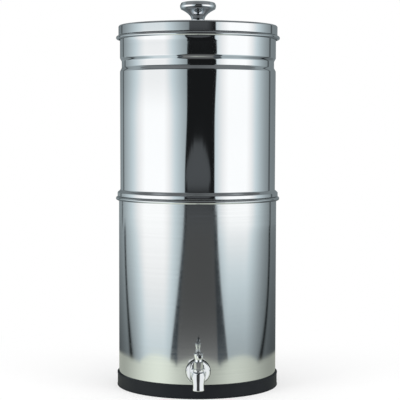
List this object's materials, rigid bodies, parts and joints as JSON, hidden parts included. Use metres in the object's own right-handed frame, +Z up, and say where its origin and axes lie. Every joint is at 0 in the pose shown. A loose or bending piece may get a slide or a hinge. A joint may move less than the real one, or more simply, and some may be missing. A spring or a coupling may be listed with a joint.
{
  "type": "gravity water filter",
  "caption": "Two stacked round steel chambers with rolled rims, a lid with a mushroom knob, filter candles between them, a rubber base ring and a lever tap with a down-turned spout.",
  "frame": {"origin": "centre of the rubber base ring, in the plane it stands on, on the chambers' common axis", "axes": "+Z up along the chambers' axis, -Y towards the tap and the viewer of the picture, +X to that viewer's right"},
  "size_m": [0.226, 0.2909, 0.5314],
  "materials": {
    "polished_steel": "mirror polished",
    "brushed_steel": "polished with a fine horizontal brush",
    "plain_steel": "plain turned",
    "chrome": "bright plated",
    "black_rubber": "satin moulded",
    "seal_rubber": "matt",
    "ceramic": "unglazed, fine pored",
    "carbon": "pressed carbon block",
    "white_plastic": "moulded satin",
    "packing": "smooth"
  },
  "bodies": {
    "lower": {"lower_chamber": "brushed_steel", "base_ring": "black_rubber", "tap_body": "chrome", "tap_escutcheon": "chrome", "tap_outer_seal": "seal_rubber", "tap_inner_seal": "seal_rubber", "tap_washer": "plain_steel", "tap_nut": "plain_steel", "tap_bonnet": "chrome", "stem_packing": "packing"},
    "tap_lever": {"tap_stem": "chrome", "stem_rings": "seal_rubber", "lever_hub": "chrome", "lever_arm": "chrome", "lever_screw": "chrome"},
    "upper": {"upper_chamber": "polished_steel", "ceramic_candle_left": "ceramic", "carbon_core_left": "carbon", "candle_base_left": "white_plastic", "candle_seal_left": "seal_rubber", "wing_nut_left": "white_plastic", "ceramic_candle_right": "ceramic", "carbon_core_right": "carbon", "candle_base_right": "white_plastic", "candle_seal_right": "seal_rubber", "wing_nut_right": "white_plastic"},
    "lid": {"lid": "polished_steel", "lid_knob": "chrome", "knob_washer": "plain_steel", "knob_screw": "plain_steel"}
  },
  "joints": [
    {"name": "upper_lift", "type": "slide", "parent": "lower", "child": "upper", "axis": [0, 0, 1], "range_m": [0, 0.06]},
    {"name": "lid_lift", "type": "slide", "parent": "upper", "child": "lid", "axis": [0, 0, 1], "range_m": [0, 0.04]},
    {"name": "tap_turn", "type": "hinge", "parent": "lower", "child": "tap_lever", "pos_m": [0, -0.1488, 0.037], "axis": [0, 0, 1], "range_deg": [0, 87]}
  ]
}
